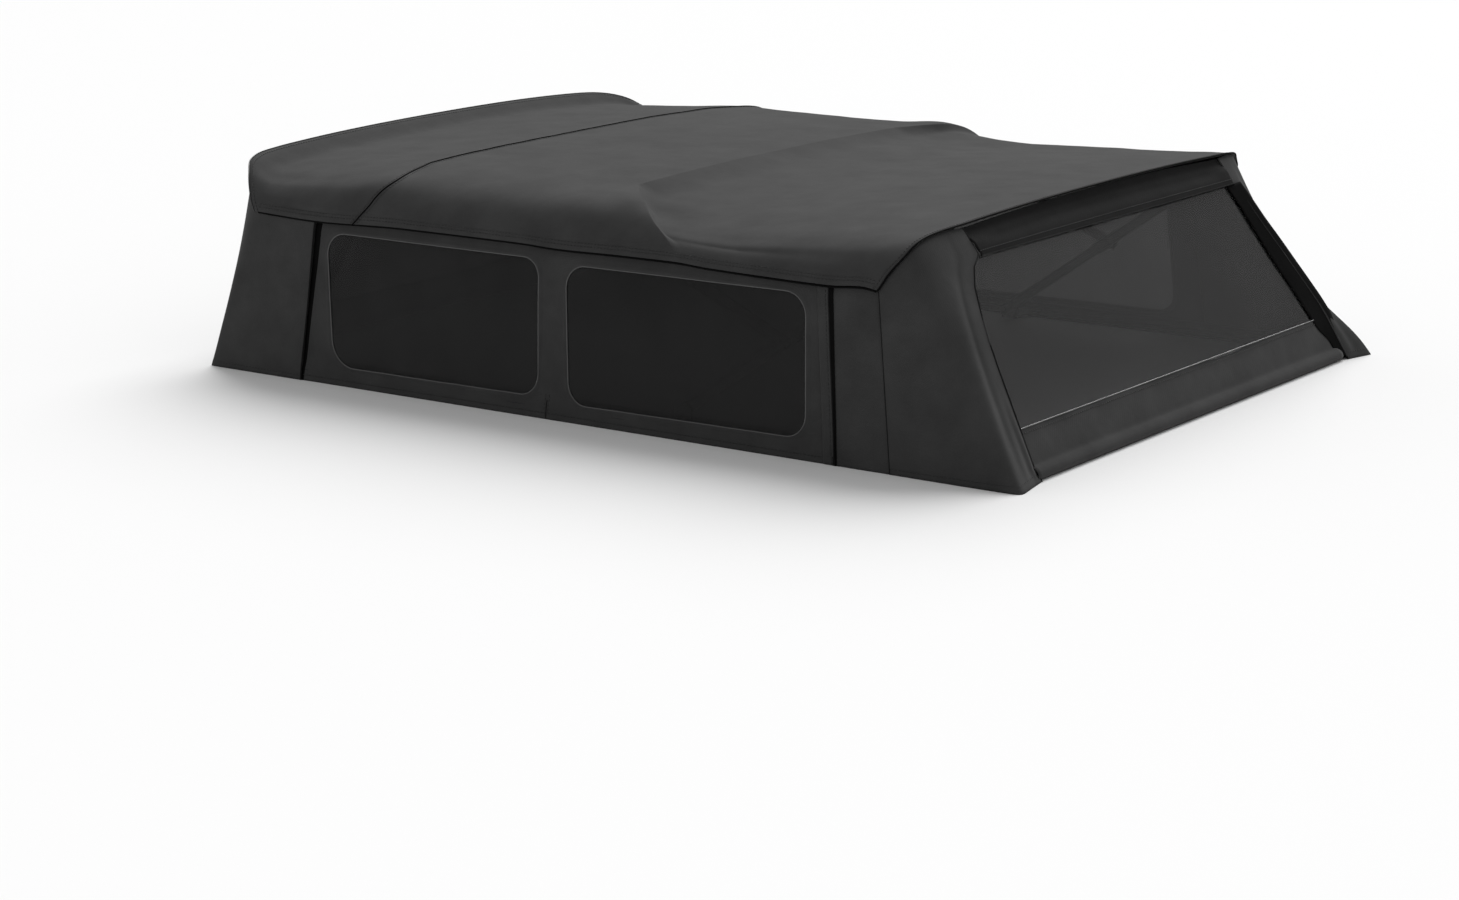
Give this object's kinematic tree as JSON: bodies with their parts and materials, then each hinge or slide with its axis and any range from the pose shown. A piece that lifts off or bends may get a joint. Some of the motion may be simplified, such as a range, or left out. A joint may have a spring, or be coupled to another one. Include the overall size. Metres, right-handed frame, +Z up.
{
  "type": "pickup truck canopy",
  "caption": "Folding soft canopy for a short truck bed: black cloth skin with tinted windows over tubular bows hinged on two side rails.",
  "frame": {"origin": "middle of the footprint, on the plane where the side rails rest", "axes": "+X to the rear, -Y to the left-hand side, +Z up"},
  "size_m": [2.2, 1.68, 0.4945],
  "materials": {
    "black_cloth": "matte coated cloth, fine grain",
    "tinted_film": "dark tinted clear sheet",
    "frame_metal": "black satin powder coat",
    "rail_metal": "black anodised extrusion"
  },
  "bodies": {
    "base": {"front_bracket_left": "frame_metal", "front_bracket_right": "frame_metal", "front_corner_left": "black_cloth", "front_corner_right": "black_cloth", "front_deck": "black_cloth", "front_panel": "black_cloth", "front_side_window_left": "tinted_film", "front_side_window_right": "tinted_film", "front_window": "tinted_film", "main_bracket_left": "frame_metal", "main_bracket_right": "frame_metal", "middle_deck": "black_cloth", "rear_bar": "frame_metal", "rear_bracket_left": "frame_metal", "rear_bracket_right": "frame_metal", "rear_corner_left": "black_cloth", "rear_corner_right": "black_cloth", "rear_curtain": "black_cloth", "rear_deck": "black_cloth", "rear_header": "black_cloth", "rear_quarter_left": "black_cloth", "rear_quarter_right": "black_cloth", "rear_side_window_left": "tinted_film", "rear_side_window_right": "tinted_film", "rear_window": "tinted_film", "side_curtain_left": "black_cloth", "side_curtain_right": "black_cloth", "side_rail_left": "rail_metal", "side_rail_right": "rail_metal"},
    "main_bow": {"knuckle_left": "frame_metal", "knuckle_right": "frame_metal", "main_bow": "frame_metal"},
    "third_bow": {"third_bow": "frame_metal"},
    "second_bow": {"second_bow": "frame_metal"},
    "front_bow": {"front_bow": "frame_metal"}
  },
  "joints": [
    {"name": "main_fold", "type": "hinge", "parent": "base", "child": "main_bow", "pos_m": [0.177, 0, 0.032], "axis": [0, -1, 0], "range_deg": [0, 135], "deforming": ["front_corner_left", "front_corner_right", "front_deck", "front_panel", "front_side_window_left", "front_side_window_right", "front_window", "middle_deck", "rear_corner_left", "rear_corner_right", "rear_curtain", "rear_deck", "rear_header", "rear_quarter_left", "rear_quarter_right", "rear_side_window_left", "rear_side_window_right", "rear_window", "side_curtain_left", "side_curtain_right"]},
    {"name": "third_fold", "type": "hinge", "parent": "main_bow", "child": "third_bow", "pos_m": [0.44719, 0, 0.22147], "axis": [0, 1, 0], "range_deg": [0, 117]},
    {"name": "second_fold", "type": "hinge", "parent": "base", "child": "second_bow", "pos_m": [-0.9, 0, 0.032], "axis": [0, 1, 0], "range_deg": [0, 57]},
    {"name": "front_fold", "type": "hinge", "parent": "base", "child": "front_bow", "pos_m": [-1, 0, 0.032], "axis": [0, 1, 0], "range_deg": [0, 97]}
  ],
  "couplings": [
    {"joint": "third_fold", "follows": "main_fold", "ratio": 0.8632},
    {"joint": "second_fold", "follows": "main_fold", "ratio": 0.4187},
    {"joint": "front_fold", "follows": "main_fold", "ratio": 0.7163}
  ]
}
